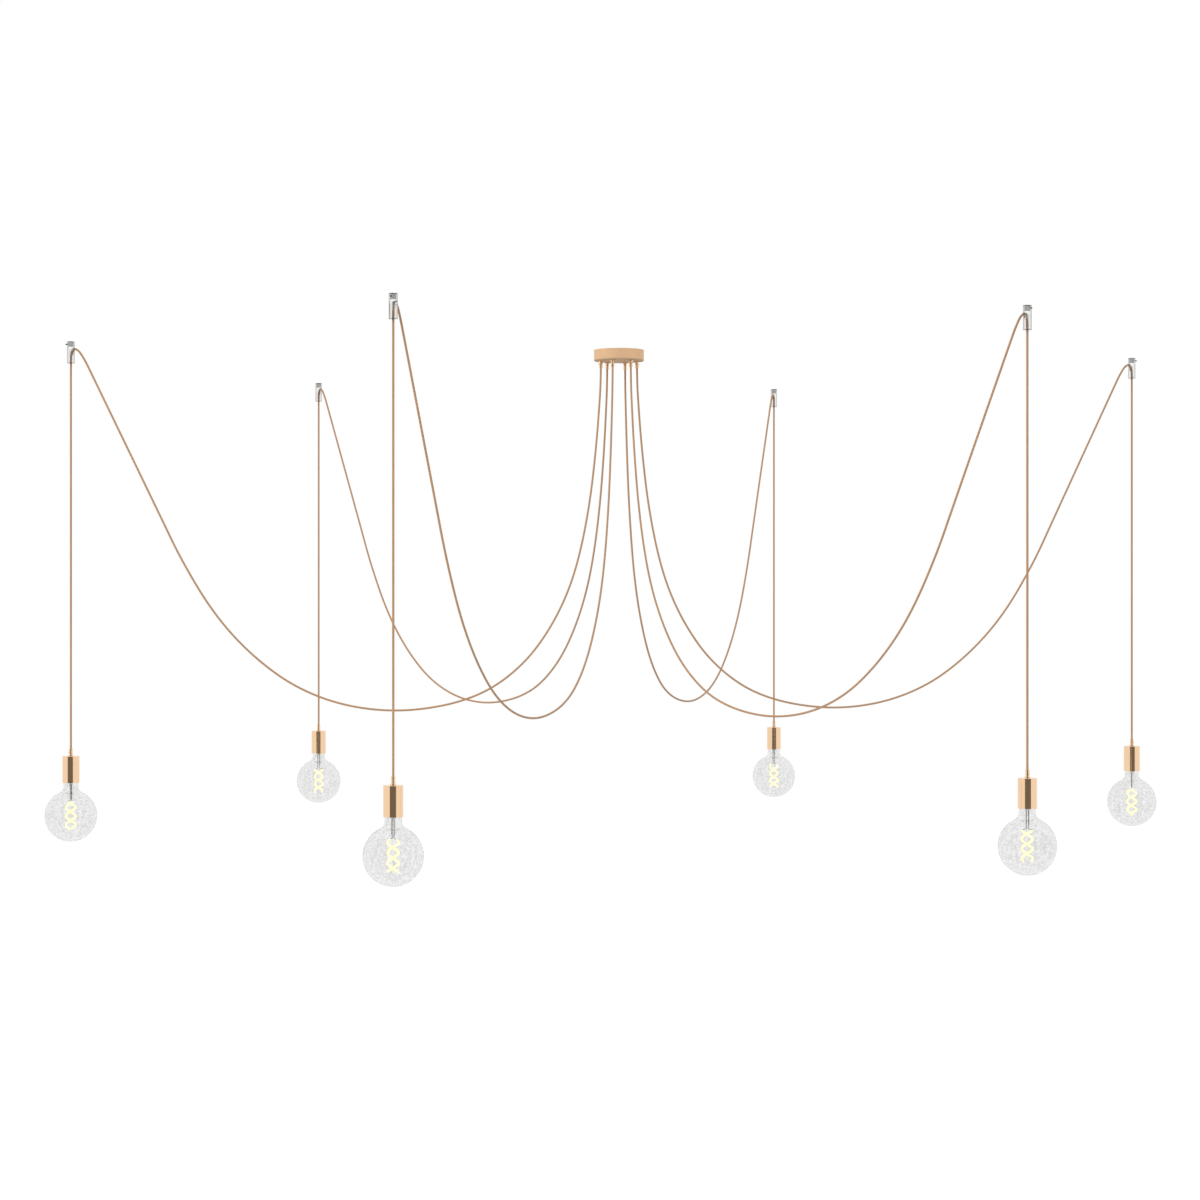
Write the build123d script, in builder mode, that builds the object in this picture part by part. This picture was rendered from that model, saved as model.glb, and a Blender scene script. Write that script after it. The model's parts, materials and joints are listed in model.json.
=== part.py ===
"""Cluster pendant: one small canopy, six swagged cords over clear ceiling hooks, six globe lamps.

Millimetres. The origin is on the ceiling at the middle of the canopy, +Z is up, and the light hangs below it.
Everything that repeats is modelled once, in the vertical plane through +X, and copied round the Z axis.
"""

import os
from math import cos, pi, radians, sin, sqrt, tan

from build123d import *

# %% Driving dimensions

# Layout
pendant_count = 6
hook_circle_r = 1350.0  # canopy axis to hook axis
globe_centre_z = -1150.0
running_gap = 0.3  # between pieces that move against each other
seat_gap = 0.15  # between pieces that slide together and stay put

# Cord
cord_d = 5.0
cord_bore_gap = 0.2  # round the cord in a grip

# Canopy cup
canopy_d = 125.0
canopy_h = 28.0
canopy_wall = 1.2
canopy_edge_r = 2.0
grip_circle_r = 46.0  # canopy axis to each cord grip
cord_in_canopy = 10.0  # cord end above the cup's floor

# Mounting bracket
bracket_w = 20.0
bracket_t = 1.5
bracket_bend_r = 1.0  # inside the bend
lug_h = 14.0
mains_hole_d = 12.0
ceiling_screw_spacing = 72.0
ceiling_screw_hole_d = 4.5

# Side screws that hold the cup to the bracket
side_screw_d = 4.0
side_screw_len = 6.0
side_screw_z = -8.0
side_screw_socket_af = 2.0
side_screw_socket_depth = 2.0

# Terminal block
terminal_l = 22.0
terminal_w = 17.0
terminal_h = 12.0
terminal_edge = 1.0
terminal_poles = 3
terminal_bore_d = 3.4
terminal_x = 20.5  # canopy axis to the block's middle

# Cord grip, the same piece on the canopy and on each holder
grip_h = 17.5
grip_foot_d = 12.0
grip_foot_h = 3.0
grip_body_d = 9.0
grip_collar_d = 10.0
grip_collar_h = 3.5
grip_edge = 0.4
grip_screw_d = 3.0
grip_screw_proud = 1.2  # past the grip's body
grip_screw_h = 8.5  # above the foot's seat
stem_d = 10.0
stem_len = 8.0
nut_af = 14.0
nut_h = 3.0

# Ceiling hook
hook_d = 18.5
hook_len = 53.0
hook_ceiling_gap = 0.5
hook_edge_r = 0.6  # round the mouth's outer edge
channel_d = 6.4
saddle_r = 8.7  # cord centre line round the hook's saddle
saddle_z = -17.9  # cord centre line at the top of the saddle
hook_base_d = 12.0
hook_base_h = 13.0
hook_screw_hole_d = 4.2
hook_screw_head_d = 8.0
set_screw_d = 3.0
set_screw_z = -7.0
set_screw_reach = 13.0  # hook axis to the screw's outer end
set_screw_bite = 1.5  # into the base
set_screw_slot_w = 0.6
set_screw_slot_depth = 0.8

# Lamp holder
holder_d = 41.0
holder_len = 65.0
holder_wall = 1.2
holder_edge_r = 1.5
insert_d = 37.4
insert_len = 51.5
insert_cap_h = 20.0
sleeve_d = 33.0
cord_chamber_depth = 6.0
cord_chamber_gap = 0.5

# Lamp
globe_d = 125.0
neck_below_holder = 10.42  # straight neck from the holder's rim to the start of its blend
glass_t = 1.0
neck_d = 35.6
neck_blend_r = 14.0
neck_in_holder = 4.0  # straight neck above the holder's rim
shoulder_h = 5.0
cap_d = 26.0
cap_thread_len = 17.0
cap_skirt_d = 27.0
cap_skirt_h = 4.0
cap_skirt_t = 0.6
cap_recess_depth = 3.0
cap_insulator_h = 4.5
cap_contact_d = 9.5
cap_contact_h = 1.5
cap_gap = 0.6  # round the cap in the socket
stem_glass_d = 9.0
stem_flare_h = 16.0
stem_reach = 40.0  # holder rim to the end of the glass stem
stem_tip_d = 6.0

# Filament
strand_w = 4.0
helix_r = 11.5
helix_pitch = 42.0
helix_turns = 1.55
helix_arcs_per_turn = 4
lead_wire_d = 1.2
lead_rise = 3.0  # straight wire at each end of a lead
lead_spread = 2.0  # wire to the stem's axis at its tip
lead_drop = 7.45  # stem's tip to the top of the strands
lamp_turns = (60, 98, 47, 82, 106, 122)  # degrees, as each lamp stops when screwed home

# %% Sizes that follow from the driving ones

canopy_r = canopy_d / 2
hook_r = hook_d / 2
globe_r = globe_d / 2
stem_hole_r = stem_d / 2 + seat_gap
floor_z = -canopy_h + canopy_wall
cord_end_z = floor_z + cord_in_canopy
hinge_z = -hook_len  # the drop cord swings about the hook's mouth
swag_end_z = hinge_z + cord_d / 2 + running_gap
blend_x = neck_d / 2 + neck_blend_r  # lamp's axis to the centre of the neck's blend
blend_rise = sqrt((globe_r + neck_blend_r) ** 2 - blend_x**2)
holder_rim_z = globe_centre_z + blend_rise + neck_below_holder
holder_top_z = holder_rim_z + holder_len
insert_top_z = holder_top_z - holder_wall
stem_pocket_z = holder_top_z - stem_len - seat_gap
drop_end_z = stem_pocket_z - cord_chamber_depth
shoulder_z = holder_rim_z + neck_in_holder
skirt_z = shoulder_z + shoulder_h
recess_z = skirt_z + cap_recess_depth
stem_tip_z = holder_rim_z - stem_reach
strand_top_z = stem_tip_z - lead_drop
cap_top_z = skirt_z + cap_skirt_h + cap_thread_len + cap_insulator_h + cap_contact_h
lug_x = sqrt((canopy_r - canopy_wall) ** 2 - (bracket_w / 2) ** 2) - seat_gap

# %% The cord's route from canopy to hook, in its vertical plane: (distance from the canopy axis, height)

swag_points = [
    (grip_circle_r, cord_end_z),
    (46, -78),
    (50.5, -148),
    (56, -219),
    (63, -290),
    (71.5, -361),
    (83, -432),
    (97.5, -502),
    (116.5, -571),
    (142.5, -637),
    (177, -701),
    (221, -763),
    (274, -814),
    (334, -854),
    (402, -880),
    (474, -895),
    (547, -901.5),
    (620, -898),
    (692, -885),
    (761, -862),
    (826, -829),
    (885, -786),
    (937, -739),
    (983, -688),
    (1024, -632),
    (1061, -571),
    (1097, -505),
    (1316, -46),
    (hook_circle_r - 16.7, saddle_z),
    (hook_circle_r, saddle_z),
    (hook_circle_r, swag_end_z),
]


def corner_radii(points):
    """As large an arc at each corner as its two runs allow."""
    legs = [Vector(*b) - Vector(*a) for a, b in zip(points, points[1:])]
    pairs = zip(legs, legs[1:])
    return [0.45 * min(a.length, b.length) / tan(radians(a.get_angle(b)) / 2) for a, b in pairs]


swag_radii = corner_radii(swag_points)
swag_radii[-1] = saddle_r
print("swag cord radii", [round(r, 1) for r in swag_radii])

# %% Canopy cup: a pressed steel cup, open to the ceiling, with a hole for each cord grip

with BuildPart() as canopy_cup:
    with BuildSketch(Plane.XY.offset(-canopy_h)):
        Circle(canopy_r)
    extrude(amount=canopy_h)
    fillet(canopy_cup.faces().sort_by(Axis.Z)[0].edges(), canopy_edge_r)
    offset(amount=-canopy_wall, openings=canopy_cup.faces().sort_by(Axis.Z)[-1])
    with BuildSketch(Plane.XY.offset(-canopy_h)):
        with PolarLocations(grip_circle_r, pendant_count):
            Circle(stem_hole_r)
    extrude(amount=canopy_wall, mode=Mode.SUBTRACT)
    with BuildSketch(Plane.YZ):
        with Locations((0, side_screw_z)):
            Circle(side_screw_d / 2 + seat_gap)
    extrude(amount=canopy_r, both=True, mode=Mode.SUBTRACT)

# %% Mounting bracket: a steel strip on the ceiling with two lugs turned down inside the cup

with BuildPart() as mounting_bracket:
    with BuildSketch(Plane.XZ):
        with BuildLine():
            Polyline(
                (-lug_x, 0),
                (lug_x, 0),
                (lug_x, -lug_h),
                (lug_x - bracket_t, -lug_h),
                (lug_x - bracket_t, -bracket_t),
                (-lug_x + bracket_t, -bracket_t),
                (-lug_x + bracket_t, -lug_h),
                (-lug_x, -lug_h),
                close=True,
            )
        make_face()
    extrude(amount=bracket_w / 2, both=True)
    bends = mounting_bracket.edges().filter_by(Axis.Y).sort_by(Axis.Z)
    inner_bends = bends.filter_by_position(Axis.Z, -bracket_t, -bracket_t)
    outer_bends = bends.filter_by_position(Axis.Z, 0, 0)
    fillet(inner_bends, bracket_bend_r)
    fillet(outer_bends, bracket_bend_r + bracket_t)
    with BuildSketch():
        Circle(mains_hole_d / 2)
        with GridLocations(ceiling_screw_spacing, 0, 2, 1):
            Circle(ceiling_screw_hole_d / 2)
    extrude(amount=-bracket_t, mode=Mode.SUBTRACT)
    with BuildSketch(Plane.YZ):
        with Locations((0, side_screw_z)):
            Circle(side_screw_d / 2)
    extrude(amount=lug_x, both=True, mode=Mode.SUBTRACT)

# %% Side screws: two socket grub screws through the cup's wall into the lugs

with BuildPart() as side_screw:
    with BuildSketch(Plane.YZ):
        Circle(side_screw_d / 2)
    extrude(amount=-side_screw_len)
    with BuildSketch(Plane.YZ):
        RegularPolygon(side_screw_socket_af / 2, 6, major_radius=False)
    extrude(amount=-side_screw_socket_depth, mode=Mode.SUBTRACT)

with BuildPart() as side_screws:
    for turn in (0, 180):
        with Locations(Location((0, 0, side_screw_z), (0, 0, turn))):
            with Locations((canopy_r, 0, 0)):
                add(side_screw.part)

# %% Terminal block under the bracket, with three through bores

with BuildPart() as terminal_block:
    with BuildSketch(Plane.XY.offset(-bracket_t)):
        with Locations((terminal_x, 0)):
            Rectangle(terminal_l, terminal_w)
    extrude(amount=-terminal_h)
    chamfer(terminal_block.faces().sort_by(Axis.Z)[0].edges(), terminal_edge)
    with BuildSketch(Plane.XZ):
        with Locations((terminal_x, -bracket_t - terminal_h / 2)):
            with GridLocations(terminal_l / terminal_poles, 0, terminal_poles, 1):
                Circle(terminal_bore_d / 2)
    extrude(amount=terminal_w / 2, both=True, mode=Mode.SUBTRACT)

# %% Cord grip: a turned piece with a hollow stem, seated on its foot, and a clamp screw in its side

with BuildPart() as cord_grip:
    with BuildSketch(Plane.XZ):
        with BuildLine():
            Polyline(
                (0, -stem_len),
                (stem_d / 2, -stem_len),
                (stem_d / 2, 0),
                (grip_foot_d / 2, 0),
                (grip_foot_d / 2, grip_foot_h - grip_edge),
                (grip_foot_d / 2 - grip_edge, grip_foot_h),
                (grip_body_d / 2, grip_foot_h),
                (grip_body_d / 2, grip_h - grip_collar_h),
                (grip_collar_d / 2, grip_h - grip_collar_h),
                (grip_collar_d / 2, grip_h - grip_edge),
                (grip_collar_d / 2 - grip_edge, grip_h),
                (0, grip_h),
                close=True,
            )
        make_face()
    revolve(axis=Axis.Z)
    with BuildSketch(Plane.YZ):
        with Locations((0, grip_screw_h)):
            Circle(grip_screw_d / 2)
    extrude(amount=grip_body_d / 2 + grip_screw_proud)
    with BuildSketch(Plane.XY.offset(-stem_len)):
        Circle(cord_d / 2 + cord_bore_gap)
    extrude(amount=stem_len + grip_h, mode=Mode.SUBTRACT)

with BuildPart() as canopy_cord_grips:
    with PolarLocations(grip_circle_r, pendant_count):
        with Locations(Location((0, 0, -canopy_h), (180, 0, 0))):
            add(cord_grip.part)

with BuildPart() as holder_grip:
    with Locations((0, 0, holder_top_z)):
        add(cord_grip.part)

# %% Lock nuts on the stems, inside the cup

with BuildPart() as canopy_lock_nuts:
    with BuildSketch(Plane.XY.offset(floor_z)):
        with PolarLocations(grip_circle_r, pendant_count):
            RegularPolygon(nut_af / 2, 6, major_radius=False)
            Circle(stem_hole_r, mode=Mode.SUBTRACT)
    extrude(amount=nut_h)

# %% Hook base: a stub screwed to the ceiling

with BuildPart() as hook_base:
    with BuildSketch():
        Circle(hook_base_d / 2)
    extrude(amount=-hook_base_h)
    with Locations(Location((0, 0, -hook_base_h), (180, 0, 0))):
        CounterSinkHole(hook_screw_hole_d / 2, hook_screw_head_d / 2)
    with BuildSketch(Plane.YZ.offset(hook_base_d / 2)):
        with Locations((0, set_screw_z)):
            Circle(set_screw_d / 2)
    extrude(amount=-set_screw_bite, mode=Mode.SUBTRACT)

# %% Hook body: a clear cylinder over the base, with the cord's channel in at its side and out at its mouth

with BuildPart() as hook_body:
    with BuildSketch(Plane.XY.offset(-hook_len)):
        Circle(hook_r)
    extrude(amount=hook_len - hook_ceiling_gap)
    fillet(hook_body.faces().sort_by(Axis.Z)[0].edges(), hook_edge_r)
    with BuildSketch():
        Circle(hook_base_d / 2 + seat_gap)
    extrude(amount=-hook_base_h - seat_gap, mode=Mode.SUBTRACT)
    with BuildLine(Plane.XZ):
        channel_line = FilletPolyline(
            (0, -hook_len),
            (0, saddle_z),
            (-hook_r, saddle_z),
            radius=saddle_r,
        )
    with BuildSketch(Plane.XY.offset(-hook_len)):
        Circle(channel_d / 2)
    sweep(path=channel_line, mode=Mode.SUBTRACT)
    with BuildSketch(Plane.YZ):
        with Locations((0, set_screw_z)):
            Circle(set_screw_d / 2 + seat_gap)
    extrude(amount=hook_r, mode=Mode.SUBTRACT)

# %% Set screw: slotted, through the hook body's outer side into the base

with BuildPart() as set_screw:
    with BuildSketch(Plane.YZ.offset(set_screw_reach)):
        with Locations((0, set_screw_z)):
            Circle(set_screw_d / 2)
    extrude(amount=hook_base_d / 2 - set_screw_bite - set_screw_reach)
    with BuildSketch(Plane.YZ.offset(set_screw_reach)):
        with Locations((0, set_screw_z)):
            Rectangle(set_screw_slot_w, set_screw_d)
    extrude(amount=-set_screw_slot_depth, mode=Mode.SUBTRACT)

with BuildPart() as hook_bases:
    with PolarLocations(hook_circle_r, pendant_count):
        add(hook_base.part)

with BuildPart() as hook_bodies:
    with PolarLocations(hook_circle_r, pendant_count):
        add(hook_body.part)

with BuildPart() as hook_set_screws:
    with PolarLocations(hook_circle_r, pendant_count):
        add(set_screw.part)

# %% Swag cord: from inside the canopy, down, up to the hook, over its saddle and into its mouth

with BuildPart() as swag_cord:
    with BuildLine(Plane.XZ):
        swag_line = FilletPolyline(*swag_points, radius=swag_radii)
    with BuildSketch(Plane.XY.offset(cord_end_z)):
        with Locations((grip_circle_r, 0)):
            Circle(cord_d / 2)
    sweep(path=swag_line)

# %% Drop cord: straight down from a round top in the hook's mouth to the holder's cord chamber

with BuildPart() as drop_cord:
    with BuildSketch(Plane.XY.offset(drop_end_z)):
        Circle(cord_d / 2)
    extrude(amount=hinge_z - drop_end_z)
    with Locations((0, 0, hinge_z)):
        Sphere(cord_d / 2)

# %% Holder shell: a deep-drawn copper cup, open below

with BuildPart() as holder_shell:
    with BuildSketch(Plane.XY.offset(holder_rim_z)):
        Circle(holder_d / 2)
    extrude(amount=holder_len)
    fillet(holder_shell.faces().sort_by(Axis.Z)[-1].edges(), holder_edge_r)
    offset(amount=-holder_wall, openings=holder_shell.faces().sort_by(Axis.Z)[0])
    with BuildSketch(Plane.XY.offset(holder_top_z)):
        Circle(stem_hole_r)
    extrude(amount=-holder_wall, mode=Mode.SUBTRACT)

# %% Socket insert: a ceramic body on the grip's stem, with a sleeve round the lamp's cap

with BuildPart() as socket_insert:
    with BuildSketch(Plane.XZ):
        with BuildLine():
            Polyline(
                (stem_hole_r, insert_top_z),
                (insert_d / 2, insert_top_z),
                (insert_d / 2, insert_top_z - insert_cap_h),
                (sleeve_d / 2, insert_top_z - insert_cap_h),
                (sleeve_d / 2, insert_top_z - insert_len),
                (cap_skirt_d / 2 + cap_gap, insert_top_z - insert_len),
                (cap_skirt_d / 2 + cap_gap, cap_top_z + cap_gap),
                (0, cap_top_z + cap_gap),
                (0, drop_end_z),
                (cord_d / 2 + cord_chamber_gap, drop_end_z),
                (cord_d / 2 + cord_chamber_gap, stem_pocket_z),
                (stem_hole_r, stem_pocket_z),
                close=True,
            )
        make_face()
    revolve(axis=Axis.Z)

# %% Lamp cap: contact, insulator, screw shell and skirt

with BuildPart() as lamp_cap:
    with BuildSketch(Plane.XZ):
        with BuildLine():
            Polyline(
                (0, recess_z),
                (cap_skirt_d / 2 - cap_skirt_t, recess_z),
                (cap_skirt_d / 2 - cap_skirt_t, skirt_z),
                (cap_skirt_d / 2, skirt_z),
                (cap_skirt_d / 2, skirt_z + cap_skirt_h),
                (cap_d / 2, skirt_z + cap_skirt_h),
                (cap_d / 2, skirt_z + cap_skirt_h + cap_thread_len),
                (cap_contact_d / 2, cap_top_z - cap_contact_h),
                (cap_contact_d / 2, cap_top_z),
                (0, cap_top_z),
                close=True,
            )
        make_face()
    revolve(axis=Axis.Z)

# %% Lamp glass: a globe blended into its neck, closed by a re-entrant stem


def on_circle(centre, radius, degrees):
    """A point on a circle in the (distance from the axis, height) plane."""
    return (centre[0] + radius * cos(radians(degrees)), centre[1] + radius * sin(radians(degrees)))


globe_centre = (0, globe_centre_z)
blend_centre = (blend_x, globe_centre_z + blend_rise)
blend_slope = Vector(blend_x, blend_rise).get_angle(Vector(1, 0))
collar_r = cap_skirt_d / 2 - cap_skirt_t - seat_gap
inner_blend_r = neck_blend_r + glass_t
flare_z = recess_z - stem_flare_h

with BuildPart() as lamp_glass:
    with BuildSketch(Plane.XZ):
        with BuildLine():
            outer_neck = Polyline(
                (collar_r, recess_z),
                (collar_r, skirt_z),
                (neck_d / 2, shoulder_z),
                (neck_d / 2, blend_centre[1]),
            )
            outer_blend = CenterArc(blend_centre, neck_blend_r, 180, blend_slope)
            outer_globe = CenterArc(globe_centre, globe_r, -90, 90 + blend_slope)
            bottom = Line((0, globe_centre_z - globe_r), (0, globe_centre_z - globe_r + glass_t))
            inner_globe = CenterArc(globe_centre, globe_r - glass_t, -90, 90 + blend_slope)
            inner_blend = CenterArc(blend_centre, inner_blend_r, 180, blend_slope)
            stem_outline = Polyline(
                (neck_d / 2 - glass_t, blend_centre[1]),
                (neck_d / 2 - glass_t, shoulder_z),
                (collar_r - glass_t, skirt_z),
                (stem_glass_d / 2, flare_z),
                (stem_glass_d / 2, stem_tip_z + stem_glass_d),
                (stem_tip_d / 2, stem_tip_z),
                (0, stem_tip_z),
                (0, flare_z),
                (stem_glass_d / 2 - glass_t, flare_z),
                (collar_r - 2 * glass_t, recess_z),
                (collar_r, recess_z),
            )
        make_face()
    revolve(axis=Axis.Z)

# %% Filament: two strands wound as a double helix, linked at the foot, on two lead wires from the stem


def helix_point(turn, start):
    """A point on a strand's centre line, turns down from its top."""
    angle = 2 * pi * turn + start
    return Vector(helix_r * cos(angle), helix_r * sin(angle), strand_top_z - helix_pitch * turn)


def helix_direction(turn, start):
    """The unit tangent of the strand there, pointing down."""
    angle = 2 * pi * turn + start
    run = 2 * pi * helix_r
    return Vector(-run * sin(angle), run * cos(angle), -helix_pitch).normalized()


def biarc_joint(p0, t0, p1, t1):
    """Where two equal-reach tangent arcs from p0 to p1 meet."""
    chord = p1 - p0
    b = -2 * chord.dot(t0 + t1)
    a = 2 * (t0.dot(t1) - 1)
    reach = (-b - sqrt(b * b - 4 * a * chord.dot(chord))) / (2 * a)
    return (p0 + p1 + (t0 - t1) * reach) / 2


def strand_arcs(start):
    """A strand's centre line from its top to its foot, as pairs of tangent arcs."""
    steps = round(helix_turns * helix_arcs_per_turn)
    turns = [helix_turns * i / steps for i in range(steps + 1)]
    arcs = []
    for a, b in zip(turns, turns[1:]):
        p0, p1 = helix_point(a, start), helix_point(b, start)
        t0, t1 = helix_direction(a, start), helix_direction(b, start)
        joint = biarc_joint(p0, t0, p1, t1)
        arcs.append(Edge.make_tangent_arc(p0, t0, joint))
        arcs.append(Edge.make_tangent_arc(joint, arcs[-1] % 1, p1))
    return arcs


with BuildPart() as filament:
    for start in (0, pi):
        top = Plane(helix_point(0, start), z_dir=helix_direction(0, start))
        with BuildSketch(top):
            Circle(strand_w / 2)
        sweep(path=Wire(strand_arcs(start)))
        back = -helix_direction(0, start)
        foot = helix_point(0, start)
        tip = Vector(lead_spread * cos(start), lead_spread * sin(start), stem_tip_z)
        last_run = tip - Vector(0, 0, lead_rise)
        with BuildLine() as lead:
            FilletPolyline(foot, foot + back * lead_rise, last_run, tip, radius=lead_rise / 3)
        with BuildSketch(Plane(foot, z_dir=back)):
            Circle(lead_wire_d / 2)
        sweep(path=lead.wires()[0])

# %% Everything that is made once is written once

canopy_parts = {
    "canopy_cup": canopy_cup,
    "mounting_bracket": mounting_bracket,
    "side_screws": side_screws,
    "terminal_block": terminal_block,
    "canopy_cord_grips": canopy_cord_grips,
    "canopy_lock_nuts": canopy_lock_nuts,
    "hook_bases": hook_bases,
    "hook_bodies": hook_bodies,
    "hook_set_screws": hook_set_screws,
}
pendant_parts = {
    "drop_cord": drop_cord,
    "holder_grip": holder_grip,
    "holder_shell": holder_shell,
    "socket_insert": socket_insert,
}
lamp_parts = {
    "lamp_cap": lamp_cap,
    "lamp_glass": lamp_glass,
    "filament": filament,
}

os.makedirs("parts", exist_ok=True)


def write(piece, name):
    """Label a piece and write it under its own name."""
    piece.label = name
    export_step(piece, f"parts/{name}.step")


for name, builder in canopy_parts.items():
    write(builder.part, name)

# %% Each pendant's pieces are copied to their places round the canopy, and each lamp to its own stop

for n, lamp_turn in enumerate(lamp_turns):
    turn = Location((0, 0, 0), (0, 0, 360 / pendant_count * n))
    hook_place = turn * Location((hook_circle_r, 0, 0))
    lamp_place = hook_place * Location((0, 0, 0), (0, 0, lamp_turn))
    write(swag_cord.part.moved(turn), f"swag_cord_{n + 1}")
    for name, builder in pendant_parts.items():
        write(builder.part.moved(hook_place), f"{name}_{n + 1}")
    for name, builder in lamp_parts.items():
        write(builder.part.moved(lamp_place), f"{name}_{n + 1}")

cord_section = pi * (cord_d / 2) ** 2
swag_length = swag_line.length
print("swag cord length", round(swag_length, 1), "drop cord length", round(hinge_z - drop_end_z, 1))
print("swag volume over section times length", swag_cord.part.volume / (cord_section * swag_length))
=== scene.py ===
# %% [markdown]
# A cluster pendant hangs from one small canopy. Six fabric cords swag out to clear ceiling hooks, drop straight down
# and carry polished copper holders with clear crackled globe lamps. The construction comes in as a fixed frame, and
# this lesson dresses it: it gives each piece its true surface and lights it as a plain studio would.

# %% Load the construction
import json
from math import cos, pi, radians, sin, tan, tau

import bpy
from mathutils import Matrix, Vector


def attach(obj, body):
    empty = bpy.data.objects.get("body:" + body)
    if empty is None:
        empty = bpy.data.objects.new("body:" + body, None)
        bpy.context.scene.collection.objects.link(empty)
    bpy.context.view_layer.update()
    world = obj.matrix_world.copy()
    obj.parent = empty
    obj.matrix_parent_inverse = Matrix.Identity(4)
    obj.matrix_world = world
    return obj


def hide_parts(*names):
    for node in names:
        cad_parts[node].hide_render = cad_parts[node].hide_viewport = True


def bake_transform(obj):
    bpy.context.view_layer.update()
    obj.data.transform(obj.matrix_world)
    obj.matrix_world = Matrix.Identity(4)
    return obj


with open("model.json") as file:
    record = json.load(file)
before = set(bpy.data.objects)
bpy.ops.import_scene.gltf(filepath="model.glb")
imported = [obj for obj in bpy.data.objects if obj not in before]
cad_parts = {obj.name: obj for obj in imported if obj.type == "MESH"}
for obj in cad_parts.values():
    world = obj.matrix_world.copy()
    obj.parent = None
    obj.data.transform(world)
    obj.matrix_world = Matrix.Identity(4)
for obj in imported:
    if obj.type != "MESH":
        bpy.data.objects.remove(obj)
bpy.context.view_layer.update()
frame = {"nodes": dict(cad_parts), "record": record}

PENDANTS = range(1, 7)
TURN = radians(60)

# %% [markdown]
# The photograph's camera looks level, with a fairly long lens, from a little below the middle of the swags. It could be
# placed by eye, but a least-squares fit of the hooks, globes and cords gives its place and lens, so the layout lines
# up without a shift.

# %% Camera
CAMERA_TURN = radians(-9.63)
CAMERA_BACK = 6.812
CAMERA_ASIDE = -0.0475
CAMERA_HEIGHT = -0.627
LENS_MM = 81.45
SENSOR_MM = 36

camera = bpy.data.objects.new("camera", bpy.data.cameras.new("camera"))
bpy.context.collection.objects.link(camera)
camera.data.sensor_width = SENSOR_MM
camera.data.lens = LENS_MM
camera.location = Matrix.Rotation(CAMERA_TURN, 3, "Z") @ Vector((CAMERA_ASIDE, -CAMERA_BACK, CAMERA_HEIGHT))
camera.rotation_euler = (pi / 2, 0, CAMERA_TURN)
bpy.context.scene.camera = camera
bpy.context.scene.view_settings.view_transform = "Standard"
print("camera at", tuple(round(c, 3) for c in camera.location))

# %% [markdown]
# On the real light each pendant has one length of cord: out of the canopy, down in a long slack curve, up over the
# hook's saddle and straight down to the holder. It could be a swept mesh, but a slack curve has no corners, so a NURBS
# line through points that stand far apart gives it with little work. The swag stays with the ceiling. On the real
# light the drop below the hook swings with its lamp, and here it is a piece of its own. Both meet inside the hook's
# mouth.

# %% Swag cords
CORD_D = 0.005
CORD_ROUNDNESS = 5
SWAG_SMOOTHNESS = 12
CANOPY_FLOOR = -0.028
SWAG_LENGTH = 2.4485
SWAG_ROUTE = [
    (0.046, -0.0168), (0.046, -0.078), (0.0505, -0.148), (0.056, -0.219), (0.063, -0.290), (0.0715, -0.361),
    (0.083, -0.432), (0.0975, -0.502), (0.1165, -0.571), (0.1425, -0.637), (0.177, -0.701), (0.221, -0.763),
    (0.274, -0.814), (0.334, -0.854), (0.402, -0.880), (0.474, -0.895), (0.547, -0.9015), (0.620, -0.898),
    (0.692, -0.885), (0.761, -0.862), (0.826, -0.829), (0.885, -0.786), (0.937, -0.739), (0.983, -0.688),
    (1.024, -0.632), (1.061, -0.571), (1.097, -0.505), (1.129, -0.437), (1.303, -0.073), (1.316, -0.046),
    (1.3333, -0.0179), (1.350, -0.0179), (1.350, -0.0502),
]


def cord_curve(name, points, smoothness):
    """A round cord along a NURBS line through the control points given."""
    curve = bpy.data.curves.new(name, "CURVE")
    curve.dimensions = "3D"
    curve.bevel_depth = 1
    curve.bevel_resolution = CORD_ROUNDNESS
    curve.use_fill_caps = True
    line = curve.splines.new("NURBS")
    line.points.add(len(points) - 1)
    for point, place in zip(line.points, points):
        point.co = (*place, 1)
        point.radius = CORD_D / 2
    line.order_u = 3
    line.use_endpoint_u = True
    line.resolution_u = smoothness
    piece = bpy.data.objects.new(name, curve)
    bpy.context.collection.objects.link(piece)
    return piece


def at(n, distance, height):
    """The point at a distance from the canopy's axis, towards hook n."""
    return (distance * cos(TURN * (n - 1)), distance * sin(TURN * (n - 1)), height)


swags = []
for n in PENDANTS:
    swag = cord_curve(f"swag_{n}", [at(n, *point) for point in SWAG_ROUTE], SWAG_SMOOTHNESS)
    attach(swag, "ceiling_set")
    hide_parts(f"swag_cord_{n}")
    at(n, SWAG_ROUTE[0][0], CANOPY_FLOOR)
    swags.append(swag)
print("swags", len(swags), "points in each route", len(SWAG_ROUTE))

# %% [markdown]
# The drop hangs straight, but it has to bend where it leaves the hook's mouth when the lamp swings. A single cylinder
# couldn't bend, so it is a tube of many rings, close together at the top and far apart below. A longer stretch was
# tried, and bulged past the hook when the lamp swung far out.

# %% Drop cords
HOOK_CIRCLE_R = 1.35
HOOK_MOUTH = -0.053
DROP_TOP, CLOSE_RINGS_END, DROP_FOOT = -0.0502, -0.083, -1.0191
DROP_ROUTE = [(HOOK_CIRCLE_R, height) for height in (DROP_TOP, CLOSE_RINGS_END, DROP_FOOT)]
DROP_LENGTH = DROP_TOP - DROP_FOOT
DROP_SMOOTHNESS = 96
FLEX_END = -0.077


def alone(piece):
    """Selects this piece and nothing else."""
    bpy.ops.object.select_all(action="DESELECT")
    piece.select_set(True)
    bpy.context.view_layer.objects.active = piece


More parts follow.
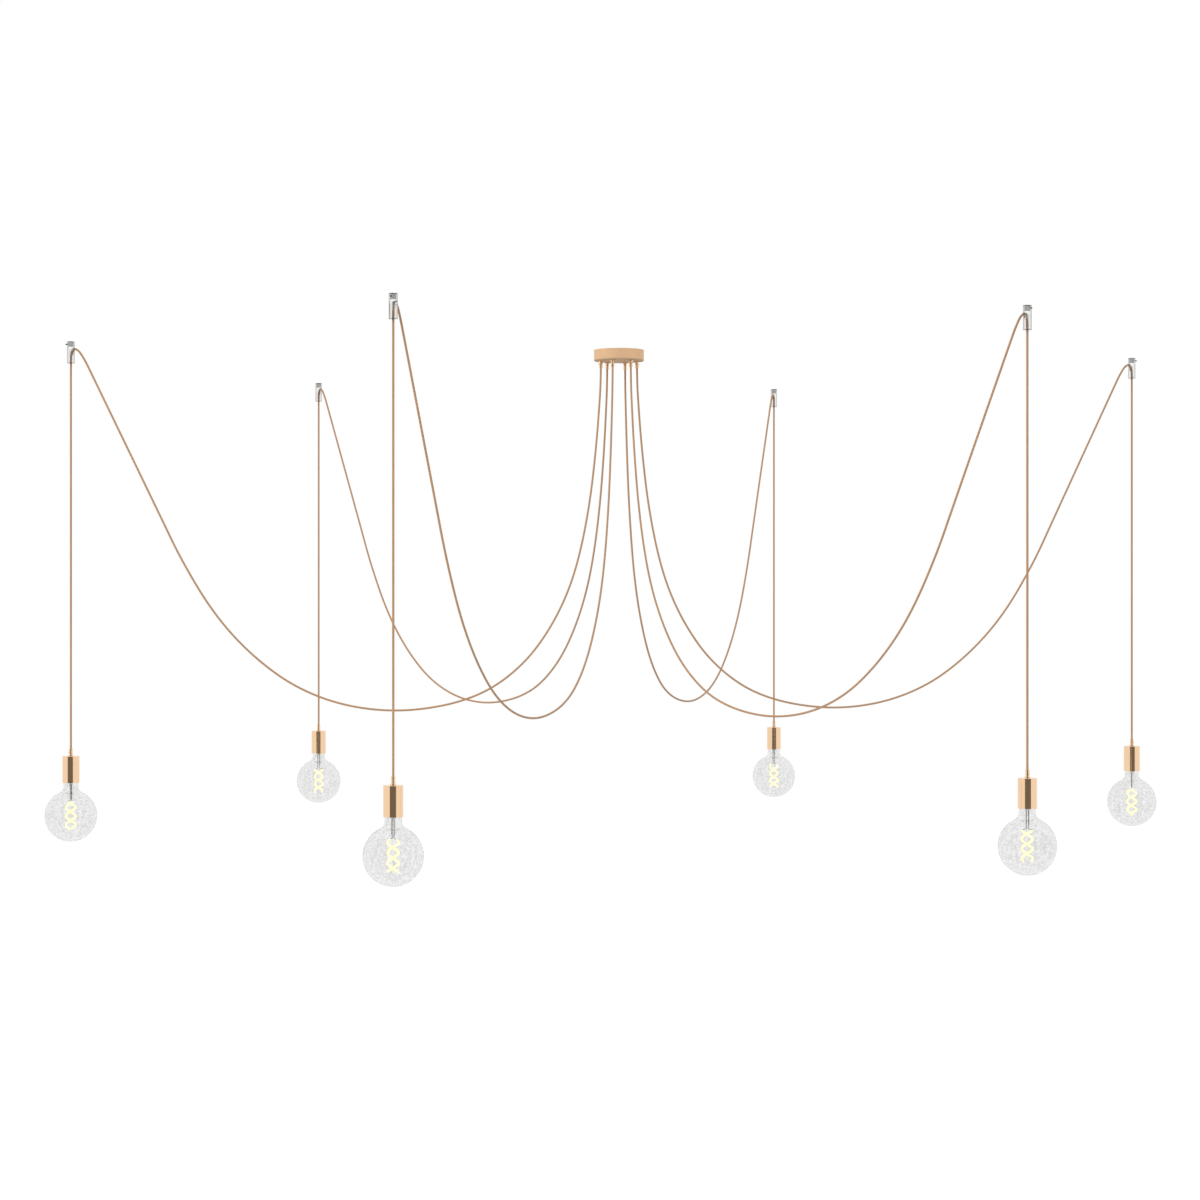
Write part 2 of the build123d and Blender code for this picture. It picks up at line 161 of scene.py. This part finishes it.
drops = []
for n in PENDANTS:
    drop = cord_curve(f"drop_{n}", [at(n, *point) for point in DROP_ROUTE], DROP_SMOOTHNESS)
    drop.data.bevel_depth = 0
    line = bpy.data.meshes.new_from_object(drop)
    drop.data.bevel_depth = 1
    alone(drop)
    bpy.ops.object.convert(target="MESH")
    at(n, *DROP_ROUTE[0])
    at(n, HOOK_CIRCLE_R, FLEX_END)
    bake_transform(drop)
    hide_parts(f"drop_cord_{n}")
    exit_point = at(n, HOOK_CIRCLE_R, HOOK_MOUTH)
    drops.append(drop)
print("drops", len(drops), "vertices in each", len(drops[0].data.vertices))

# %% [markdown]
# Shader maths reads best as sums. Nodes could be added and linked one by one, but this small class wraps a socket, so
# that an expression in Python adds the Math nodes that it needs.


# %% A wrapped socket
class Wire:
    def __init__(self, tree, socket):
        self.tree = tree
        self.socket = socket

    def _maths(self, operation, *values):
        node = self.tree.nodes.new("ShaderNodeMath")
        node.operation = operation
        for slot, value in zip(node.inputs, values):
            if isinstance(value, Wire):
                self.tree.links.new(value.socket, slot)
            else:
                slot.default_value = value
        return Wire(self.tree, node.outputs[0])

    def __add__(self, other):
        return self._maths("ADD", self, other)

    __radd__ = __add__

    def __sub__(self, other):
        return self._maths("SUBTRACT", self, other)

    def __rsub__(self, other):
        return self._maths("SUBTRACT", other, self)

    def __mul__(self, other):
        return self._maths("MULTIPLY", self, other)

    __rmul__ = __mul__

    def __pow__(self, other):
        return self._maths("POWER", self, other)

    def sine(self):
        return self._maths("SINE", self)

    def above(self, edge):
        return self._maths("GREATER_THAN", self, edge)

    def up_to(self, most):
        return self._maths("MINIMUM", self, most)

    def spread(self, low, high):
        """Stretches the part between low and high over 0 to 1."""
        stretched = ((self - low) * (1 / (high - low))).up_to(1.0)
        return self._maths("MAXIMUM", stretched, 0.0)


# %% [markdown]
# Each surface of the light gets a named finish. Any node that isn't plain maths comes from one method, which sets its
# properties first and its sockets next. A socket is given by its name, or as i0, i1 and so on by its number where
# several have the same name.


# %% A named finish
class Finish:
    """A named material with its shader and a method for every other node."""

    def __init__(self, name, **settings):
        self.material = bpy.data.materials.new(name)
        self.material.use_nodes = True
        self.tree = self.material.node_tree
        self.shader = self.tree.nodes["Principled BSDF"]
        for socket, value in settings.items():
            self.set(socket.replace("_", " "), value)

    def set(self, socket, value):
        slot = self.shader.inputs[socket]
        if isinstance(value, Wire):
            self.tree.links.new(value.socket, slot)
        elif isinstance(value, tuple) and len(value) == 3:
            slot.default_value = (*value, 1)
        else:
            slot.default_value = value

    def node(self, kind, output=0, settings=(), **sockets):
        made = self.tree.nodes.new(kind)
        for key, value in dict(settings).items():
            setattr(made, key, value)
        for key, value in sockets.items():
            slot = made.inputs[int(key[1:])] if key[0] == "i" and key[1:].isdigit() else made.inputs[key]
            if isinstance(value, Wire):
                self.tree.links.new(value.socket, slot)
            elif isinstance(value, tuple) and len(value) == 3 and slot.type == "RGBA":
                slot.default_value = (*value, 1)
            else:
                slot.default_value = value
        return Wire(self.tree, made.outputs[output])

    def place(self):
        return self.node("ShaderNodeTexCoord", "Object")

    def mix(self, factor, low, high):
        return self.node("ShaderNodeMix", 2, {"data_type": "RGBA"}, i0=factor, i6=low, i7=high)

    def bump(self, height, distance, strength=1.0):
        normal = self.node("ShaderNodeBump", Height=height, Distance=distance, Strength=strength)
        self.set("Normal", normal)


# %% [markdown]
# Copper looks like copper through what it reflects. The photograph's holders show a dark stripe between two peach
# sides, as a polished cup does with something dark in front of it and light on both sides. The stripe could be
# painted on, but it would then turn with the cup, so the polished finish is a plain mirror of the metal's colour and
# the studio holds the dark. The canopy is a slightly deeper copper with a fine grain and a satin gloss, and its round
# lower edge gets painted shade, a darker base colour, as in the photograph.

# %% Copper finishes
COPPER = (0.90, 0.63, 0.405)
SATIN_DARK, SATIN_LIGHT, SATIN_EDGE_SHADE = (0.80, 0.535, 0.315), (0.88, 0.59, 0.35), (0.50, 0.35, 0.21)
ROUND_EDGE_FOOT, ROUND_EDGE_TOP = -0.0275, -0.0235


def polished_copper():
    finish = Finish("polished_copper", Base_Color=COPPER, Metallic=1.0, Roughness=0.06)
    smears = finish.node("ShaderNodeTexNoise", 0, Vector=finish.place(), Scale=55.0, Detail=3.0)
    finish.set("Roughness", 0.04 + smears * 0.06)
    return finish.material


def satin_copper():
    finish = Finish("satin_copper", Metallic=0.5, Roughness=0.7)
    grain = finish.node("ShaderNodeTexNoise", 0, Vector=finish.place(), Scale=1400.0, Detail=2.0)
    blotch = finish.node("ShaderNodeTexNoise", 0, Vector=finish.place(), Scale=60.0, Detail=2.0)
    height = finish.node("ShaderNodeSeparateXYZ", 2, Vector=finish.place())
    flat = finish.mix(blotch, SATIN_DARK, SATIN_LIGHT)
    # Painted shade: the base colour darkens on the round lower edge.
    finish.set("Base Color", finish.mix(height.spread(ROUND_EDGE_FOOT, ROUND_EDGE_TOP), SATIN_EDGE_SHADE, flat))
    finish.set("Roughness", 0.66 + grain * 0.12)
    finish.bump(grain, 0.00005, 0.35)
    return finish.material


# %% [markdown]
# The cord wears a braided textile sheath. Its threads cross on two diagonals, so the pattern follows the cord's own UV
# map: U runs along the cord and V once round it. Two crossing sine waves give the weave for both colour and bump.

# %% Braided cord
BRAID_THREADS = 12
BRAID_PITCH = 0.0042
BRAID_DEEP, BRAID_LIGHT = (0.36, 0.185, 0.094), (0.62, 0.37, 0.192)


def braided_fabric(name, length):
    finish = Finish(name, Roughness=0.62, Sheen_Weight=0.15, Sheen_Roughness=0.4)
    split = finish.node("ShaderNodeUVMap")
    along = finish.node("ShaderNodeSeparateXYZ", 0, Vector=split) * (tau * length / BRAID_PITCH)
    around = finish.node("ShaderNodeSeparateXYZ", 1, Vector=split) * (tau * BRAID_THREADS / 2)
    crossing = (around + along).sine() * (around - along).sine()
    shade = crossing * 0.5 + 0.5
    wear = finish.node("ShaderNodeTexNoise", 0, Vector=finish.place(), Scale=30.0, Detail=2.0)
    finish.set("Base Color", finish.mix(shade * 0.7 + wear * 0.3, BRAID_DEEP, BRAID_LIGHT))
    finish.bump(shade, 0.00035, 0.8)
    return finish.material


# %% [markdown]
# The globes are clear glass with a crackled skin: fine ice-like cells, and long faint streaks that run from the neck
# to the foot. Clear glass on white is seen by its rim and its flaws, so the flaws tint the glass as well as bend it,
# and the rim gets painted shade in the base colour. The cells could be modelled, but they are so shallow that a faint
# bump is enough. The hooks are clear plastic. Their sides get painted shade towards the edge, and their flat ends get
# painted shade as grey lines.

# %% Crackled glass and clear plastic
GLASS_CLEAR, GLASS_FLAW_AND_RIM_SHADE = (0.99, 0.99, 0.99), (0.76, 0.76, 0.757)
PLASTIC_CLEAR, PLASTIC_HAZE_AND_EDGE_SHADE = (0.99, 0.99, 0.98), (0.12, 0.118, 0.112)
HOOK_TOP = -0.0005
END_BAND = 0.0012


def crackled_glass():
    finish = Finish("lamp_glass", Roughness=0.0, IOR=1.45, Transmission_Weight=1.0)
    cells = finish.node("ShaderNodeTexVoronoi", 0, {"feature": "DISTANCE_TO_EDGE"}, Vector=finish.place(), Scale=190.0)
    frost = finish.node("ShaderNodeTexNoise", 0, Vector=finish.place(), Scale=170.0, Detail=3.0)
    stretched = finish.node("ShaderNodeMapping", Vector=finish.place(), Scale=(1, 1, 0.12))
    streaks = finish.node("ShaderNodeTexNoise", 0, Vector=stretched, Scale=150.0, Detail=2.0)
    rim_shade = finish.node("ShaderNodeLayerWeight", 1, Blend=0.35)
    crack = 1 - (cells * 7.0).up_to(1.0)
    speckle = frost.spread(0.4, 0.6) * 0.5 + streaks.spread(0.4, 0.6) * 0.25 + crack * 0.25
    # Painted shade: besides the flaws, the base colour greys towards the rim, where the glass turns away.
    finish.set("Base Color", finish.mix(speckle + (rim_shade ** 4.0) * 0.5, GLASS_CLEAR, GLASS_FLAW_AND_RIM_SHADE))
    finish.bump(frost * 0.4 + streaks * 0.3 + crack, 0.0001, 0.1)
    return finish.material


def clear_plastic():
    finish = Finish("clear_plastic", Roughness=0.0, IOR=1.49, Transmission_Weight=1.0)
    rim_shade = finish.node("ShaderNodeLayerWeight", 1, Blend=0.5)
    haze = finish.node("ShaderNodeTexNoise", 0, Vector=finish.place(), Scale=90.0, Detail=2.0)
    height = finish.node("ShaderNodeSeparateXYZ", 2, Vector=finish.place())
    # Painted shade: the base colour greys towards the edges and at the flat ends; the faint haze is the plastic's own
    # tone.
    flat_end_shade = height.above(HOOK_TOP - END_BAND) + (1 - height.above(HOOK_MOUTH + END_BAND))
    shade = (rim_shade * 1.3 + haze * 0.1 + flat_end_shade * 0.7).up_to(1.0)
    finish.set("Base Color", finish.mix(shade, PLASTIC_CLEAR, PLASTIC_HAZE_AND_EDGE_SHADE))
    finish.bump(haze, 0.0001, 0.1)
    return finish.material


# %% [markdown]
# The small pieces are plain metals and mouldings. One recipe for each kind is enough, with its own colours and gloss,
# and noise breaks both up, because no real piece is one flat colour.


# %% Small metals and mouldings
def small_metal(name, dark, light, roughness, scale, metallic=1.0):
    finish = Finish(name, Metallic=metallic, Roughness=roughness)
    cloud = finish.node("ShaderNodeTexNoise", 0, Vector=finish.place(), Scale=scale, Detail=3.0)
    finish.set("Base Color", finish.mix(cloud, dark, light))
    finish.set("Roughness", roughness - 0.08 + cloud * 0.16)
    finish.bump(cloud, 0.0001, 0.2)
    return finish.material


def moulding(name, dark, light, roughness, coat):
    finish = Finish(name, Roughness=roughness, Coat_Weight=coat, Coat_Roughness=0.1)
    cloud = finish.node("ShaderNodeTexNoise", 0, Vector=finish.place(), Scale=180.0, Detail=3.0)
    finish.set("Base Color", finish.mix(cloud, dark, light))
    finish.set("Roughness", roughness - 0.05 + cloud * 0.1)
    finish.bump(cloud, 0.0001, 0.15)
    return finish.material


# %% [markdown]
# The filament's strips glow yellow with fine beads in them. Each could be a row of small lamps, but a glowing surface
# looks the same at this size. The lead wires lie above the strips in the same mesh, so height tells them apart, and
# they stay dark.

# %% Glowing strips
STRAND_TOP = -1.1155
PHOSPHOR_DEEP, PHOSPHOR_LIGHT = (1.0, 0.86, 0.30), (1.0, 0.98, 0.52)
STRIP, DARK_WIRE, UNLIT = (0.9, 0.8, 0.4), (0.12, 0.11, 0.10), (0.0, 0.0, 0.0)
STRIP_GLOW = 1.1


def glowing_strip():
    finish = Finish("filament_glow", Roughness=0.5)
    height = finish.node("ShaderNodeSeparateXYZ", 2, Vector=finish.place())
    wire = height.above(STRAND_TOP)
    beads = finish.node("ShaderNodeTexNoise", 0, Vector=finish.place(), Scale=900.0, Detail=1.0)
    phosphor = finish.mix(beads, PHOSPHOR_DEEP, PHOSPHOR_LIGHT)
    finish.set("Base Color", finish.mix(wire, STRIP, DARK_WIRE))
    finish.set("Emission Color", finish.mix(wire, phosphor, UNLIT))
    finish.set("Emission Strength", STRIP_GLOW)
    return finish.material


# %% [markdown]
# The construction names a finish for every node, so the nodes are dressed in one loop and none is missed. The swags and
# drops differ in length, so each kind gets a braid of its own, with threads of the same size on both.

# %% Dress the nodes and the cords
finishes = {
    "polished_copper": polished_copper(),
    "satin_copper": satin_copper(),
    "copper_fabric": braided_fabric("copper_fabric", SWAG_LENGTH),
    "lamp_glass": crackled_glass(),
    "clear_plastic": clear_plastic(),
    "zinc_steel": small_metal("zinc_steel", (0.42, 0.42, 0.40), (0.70, 0.69, 0.66), 0.35, 300.0),
    "grey_metal": small_metal("grey_metal", (0.66, 0.66, 0.65), (0.84, 0.84, 0.83), 0.55, 400.0, 0.3),
    "dark_steel": small_metal("dark_steel", (0.05, 0.05, 0.055), (0.14, 0.14, 0.15), 0.4, 500.0),
    "cap_metal": small_metal("cap_metal", (0.55, 0.53, 0.48), (0.80, 0.78, 0.72), 0.25, 260.0),
    "lead_wire": small_metal("lead_wire", (0.10, 0.09, 0.08), (0.25, 0.22, 0.20), 0.4, 700.0),
    "white_nylon": moulding("white_nylon", (0.74, 0.73, 0.69), (0.86, 0.85, 0.82), 0.45, 0.0),
    "white_ceramic": moulding("white_ceramic", (0.72, 0.71, 0.66), (0.86, 0.85, 0.81), 0.3, 0.6),
    "filament_glow": glowing_strip(),
}
slot_of = {row["node"]: row["material_slot"] for row in frame["record"]["subparts"]}
for name, node in frame["nodes"].items():
    node.data.materials.clear()
    node.data.materials.append(finishes[slot_of[name]])
for swag in swags:
    swag.data.materials.append(finishes["copper_fabric"])
drop_fabric = braided_fabric("copper_fabric_drop", DROP_LENGTH)
for drop in drops:
    drop.data.materials.append(drop_fabric)
print("finishes", sorted(finishes))

# %% [markdown]
# In each lamp two glowing strips are wound in a double helix. The photograph shows another side of each, and six
# readings of it gave a turn of about 70 degrees from the lamp's own hook, so all six stand at that. They could be
# modelled anew, but one copy of the construction's filament serves all six: it is brought to the middle, cleaned of
# double points and set out again.

# %% Filaments
LAMP_TURN = 70
FIRST_LAMP_TURN = 60
WELD = 0.00001
SMOOTH_BELOW = radians(40)


def place_on_lamp(n, degrees):
    """The matrix that takes a piece from the canopy's axis to lamp n's axis, turned as that lamp stands."""
    turn = Matrix.Rotation(TURN * (n - 1), 4, "Z")
    return turn @ Matrix.Translation((HOOK_CIRCLE_R, 0, 0)) @ Matrix.Rotation(radians(degrees), 4, "Z")


def set_out(first, name, stands_for=None):
    """A copy of a centred piece on every lamp."""
    for n in PENDANTS:
        copy = first.copy()
        copy.data = first.data.copy()
        copy.name = f"{name}_{n}"
        copy.data.transform(place_on_lamp(n, LAMP_TURN))
        bpy.context.collection.objects.link(copy)
        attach(copy, f"lamp_{n}")
        if stands_for:
            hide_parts(f"{stands_for}_{n}")
    bpy.data.objects.remove(first)


def open_all(piece):
    """Opens this piece alone in edit mode, with all of it selected."""
    alone(piece)
    bpy.ops.object.mode_set(mode="EDIT")
    bpy.ops.mesh.select_all(action="SELECT")


centred = bpy.data.objects.new("centred_filament", frame["nodes"]["filament_1"].data.copy())
bpy.context.collection.objects.link(centred)
centred.data.transform(place_on_lamp(1, FIRST_LAMP_TURN).inverted())
open_all(centred)
bpy.ops.mesh.remove_doubles(threshold=WELD)
bpy.ops.object.mode_set(mode="OBJECT")
bpy.ops.object.shade_smooth_by_angle(angle=SMOOTH_BELOW)
centred.data.materials.clear()
centred.data.materials.append(finishes["filament_glow"])
print("filament vertices", len(centred.data.vertices))
set_out(centred, "strands", "filament")

# %% [markdown]
# Two lead wires carry the current up through the lamp's glass stem, and show as dark lines below the holder. Each
# could be a curve, but they run straight there, so two thin cylinders are enough, joined as one piece for each lamp.

# %% Lead wires in the stems
LEAD_TOP, LEAD_FOOT = -1.0600, -1.1102
LEAD_RADIUS = 0.0006
LEAD_SPREAD = 0.002
LEAD_SIDES = 16

wires = []
for side in (-1, 1):
    bpy.ops.mesh.primitive_cylinder_add(
        vertices=LEAD_SIDES, radius=LEAD_RADIUS, depth=LEAD_TOP - LEAD_FOOT,
        location=(side * LEAD_SPREAD, 0, (LEAD_TOP + LEAD_FOOT) / 2),
    )
    wires.append(bpy.context.object)
for wire in wires:
    wire.select_set(True)
bpy.ops.object.join()
bpy.ops.object.transform_apply(location=True)
bpy.ops.object.shade_smooth_by_angle(angle=SMOOTH_BELOW)
stem_leads = bpy.context.object
stem_leads.data.materials.append(finishes["lead_wire"])
set_out(stem_leads, "stem_leads")
print("lead wires on", len(PENDANTS), "lamps")

# %% [markdown]
# A lamp's cap is made of turned pieces and a thread. They could be stacks of cylinders, but a profile that is drawn
# point by point and spun gives round edges too. The same screw modifier spins a turned piece once round, or winds a
# thread as it rises.

# %% Spinning and winding
SKIRT = -1.0610
CAP_STEPS = 64
CAP_WELD = 0.000001
CAP_SMOOTH_BELOW = radians(35)
SEED_PLANE = 0.001


def wind(piece, steps, rise=0.0, turns=1):
    """Sweeps a profile round the Z axis with a screw modifier, then tidies the shell."""
    modifier = piece.modifiers.new("wind", "SCREW")
    modifier.screw_offset = rise
    modifier.iterations = turns
    modifier.steps = modifier.render_steps = steps
    alone(piece)
    bpy.ops.object.modifier_apply(modifier=modifier.name)
    open_all(piece)
    bpy.ops.mesh.remove_doubles(threshold=CAP_WELD)
    bpy.ops.mesh.select_all(action="DESELECT")
    bpy.ops.mesh.select_non_manifold()
    bpy.ops.mesh.fill_holes(sides=0)
    bpy.ops.mesh.select_all(action="SELECT")
    bpy.ops.mesh.normals_make_consistent(inside=False)
    bpy.ops.object.mode_set(mode="OBJECT")
    bpy.ops.object.shade_smooth_by_angle(angle=CAP_SMOOTH_BELOW)


def lathe(profile, steps=CAP_STEPS):
    """A turned piece from a profile of (radius, height above the skirt) points."""
    bpy.ops.mesh.primitive_plane_add(size=SEED_PLANE)
    piece = bpy.context.object
    open_all(piece)
    bpy.ops.mesh.merge(type="CENTER")
    bpy.ops.transform.translate(value=(profile[0][0], 0, SKIRT + profile[0][1]))
    for (r, h), (next_r, next_h) in zip(profile, profile[1:]):
        bpy.ops.mesh.extrude_vertices_move(TRANSFORM_OT_translate={"value": (next_r - r, 0, next_h - h)})
    bpy.ops.object.mode_set(mode="OBJECT")
    wind(piece, steps)
    return piece


# %% [markdown]
# Drawn out of its holder, a lamp shows its screw cap: a metal shell with a rolled thread, a cone of black glass that
# insulates it, and the contact on top. The photograph hides the cap, so it is made as such caps usually are. The
# thread could be cut into the shell, but a round wire wound on it, sunk by half, gives the same rolled look.

# %% Lamp caps
THREAD_PITCH = 0.0036
THREAD_TURNS = 4
THREAD_ROLL = 0.0009
THREAD_SIDES, THREAD_STEPS = 12, 48
CORE_R = 0.0121
THREAD_FOOT = SKIRT + 0.0050
CONTACT_STEPS = 48

shell = lathe([
    (0, 0.0030), (0.0128, 0.0030), (0.0129, 0), (0.0135, 0), (0.0135, 0.0034), (0.0132, 0.0040), (CORE_R, 0.0042),
    (CORE_R, 0.0202), (0.0116, 0.0208), (0.0109, 0.0210), (0, 0.0210),
])
insulator = lathe([(0, 0.0209), (0.0108, 0.0209), (0.0105, 0.0216), (0.0052, 0.0252), (0.0048, 0.0256), (0, 0.0256)])
contact = lathe(
    [(0, 0.0254), (0.0047, 0.0254), (0.0047, 0.0262), (0.0040, 0.0268), (0.0020, 0.0270), (0, 0.0270)],
    CONTACT_STEPS,
)
bpy.ops.mesh.primitive_circle_add(
    vertices=THREAD_SIDES, radius=THREAD_ROLL, location=(CORE_R, 0, THREAD_FOOT), rotation=(pi / 2, 0, 0),
)
thread = bpy.context.object
bpy.ops.object.transform_apply(location=True, rotation=True)
wind(thread, THREAD_STEPS, THREAD_PITCH, THREAD_TURNS)
for piece in (thread, contact, shell):
    piece.select_set(True)
bpy.context.view_layer.objects.active = shell
insulator.select_set(False)
bpy.ops.object.join()
shell.data.materials.append(finishes["cap_metal"])
insulator.data.materials.append(moulding("black_glass", (0.01, 0.01, 0.012), (0.03, 0.03, 0.035), 0.12, 0.8))
print("cap faces", len(shell.data.polygons), "insulator faces", len(insulator.data.polygons))
set_out(shell, "screw_cap", "lamp_cap")
set_out(insulator, "cap_insulator")

# %% [markdown]
# The photograph's background is white. Strong lamps could wash it out, but they would bleach the copper too, so the
# world is level light for surfaces, and plain white for the camera and for whatever is reflected or seen through glass.

# %% White world
LEVEL_LIGHT = 0.72

world = bpy.data.worlds.new("studio")
bpy.context.scene.world = world
world.use_nodes = True
tree = world.node_tree
soft, white = tree.nodes["Background"], tree.nodes.new("ShaderNodeBackground")
soft.inputs["Color"].default_value = (1, 1, 1, 1)
soft.inputs["Strength"].default_value = LEVEL_LIGHT
white.inputs["Color"].default_value = (1, 1, 1, 1)
rays = tree.nodes.new("ShaderNodeLightPath")
plain = Wire(tree, rays.outputs["Is Camera Ray"]) + Wire(tree, rays.outputs["Is Glossy Ray"])
plain = plain + Wire(tree, rays.outputs["Is Transmission Ray"])
either = tree.nodes.new("ShaderNodeMixShader")
tree.links.new(plain.socket, either.inputs[0])
tree.links.new(soft.outputs[0], either.inputs[1])
tree.links.new(white.outputs[0], either.inputs[2])
tree.links.new(either.outputs[0], tree.nodes["World Output"].inputs[0])
print("world light", LEVEL_LIGHT)

# %% [markdown]
# White paper lies below the light. It glows a little where the camera sees it, so that it matches the world, and it is
# left out of what polished copper reflects.

# %% Paper floor
FLOOR_Z = -2.4
FLOOR_SIZE = 60
PAPER_SHADE, PAPER_GLOW = (0.8, 0.8, 0.8), (0.42, 0.42, 0.42)

bpy.ops.mesh.primitive_plane_add(size=FLOOR_SIZE, location=(0, 0, FLOOR_Z))
floor = bpy.context.object
floor.name = "paper_floor"
floor.visible_glossy = False
paper = Finish("paper", Base_Color=PAPER_SHADE, Roughness=0.9, Specular_IOR_Level=0.0)
seen = paper.node("ShaderNodeLightPath", "Is Camera Ray") + paper.node("ShaderNodeLightPath", "Is Transmission Ray")
paper.set("Emission Color", paper.mix(seen, UNLIT, PAPER_GLOW))
paper.set("Emission Strength", 1.0)
floor.data.materials.append(paper.material)
print("paper at", FLOOR_Z)

# %% [markdown]
# Behind the camera hangs a dark flag, which polished copper shows as its stripe. Only glossy rays see it, so it takes
# no light from the object. It stands where the photograph's camera looks from, and stays there for other views.

# %% Dark flag
FLAG_DISTANCE = 16.0
FLAG_HALF_ANGLE = radians(35)
FLAG_HEIGHT = 40
FLAG_SHADE = (0.186, 0.173, 0.155)

bpy.context.view_layer.update()
bpy.ops.mesh.primitive_plane_add(size=1, location=camera.matrix_world @ Vector((0, 0, FLAG_DISTANCE)))
flag = bpy.context.object
flag.name = "black_flag"
flag.rotation_euler = (pi / 2, 0, CAMERA_TURN)
flag.scale = (2 * (FLAG_DISTANCE + CAMERA_BACK) * tan(FLAG_HALF_ANGLE), FLAG_HEIGHT, 1)
flag.visible_camera = flag.visible_diffuse = flag.visible_transmission = flag.visible_shadow = False
dark = Finish("flag_cloth", Base_Color=(0.0, 0.0, 0.0), Roughness=1.0, Specular_IOR_Level=0.0)
dark.set("Emission Color", FLAG_SHADE)
dark.set("Emission Strength", 1.0)
flag.data.materials.append(dark.material)
print("flag half angle", round(FLAG_HALF_ANGLE, 3))

# %% [markdown]
# Level light alone leaves the canopy flat. One large soft lamp from the front left gives it a lighter side, as in the
# photograph. It is large so that its shadows are soft.

# %% Key light
KEY_SIZE, KEY_POWER = 5, 260
KEY_PLACE = (-4.5, -5.5, 3.0)

key = bpy.data.objects.new("key", bpy.data.lights.new("key", "AREA"))
bpy.context.collection.objects.link(key)
key.data.size = KEY_SIZE
key.data.energy = KEY_POWER
key.visible_glossy = key.visible_transmission = False
key.location = KEY_PLACE
key.rotation_euler = (-key.location).to_track_quat("-Z", "Y").to_euler()
print("key light", KEY_POWER, "W at", KEY_PLACE)

# %% [markdown]
# Last, the scene is brought up to date.

# %% Bring the scene up to date
bpy.context.view_layer.update()
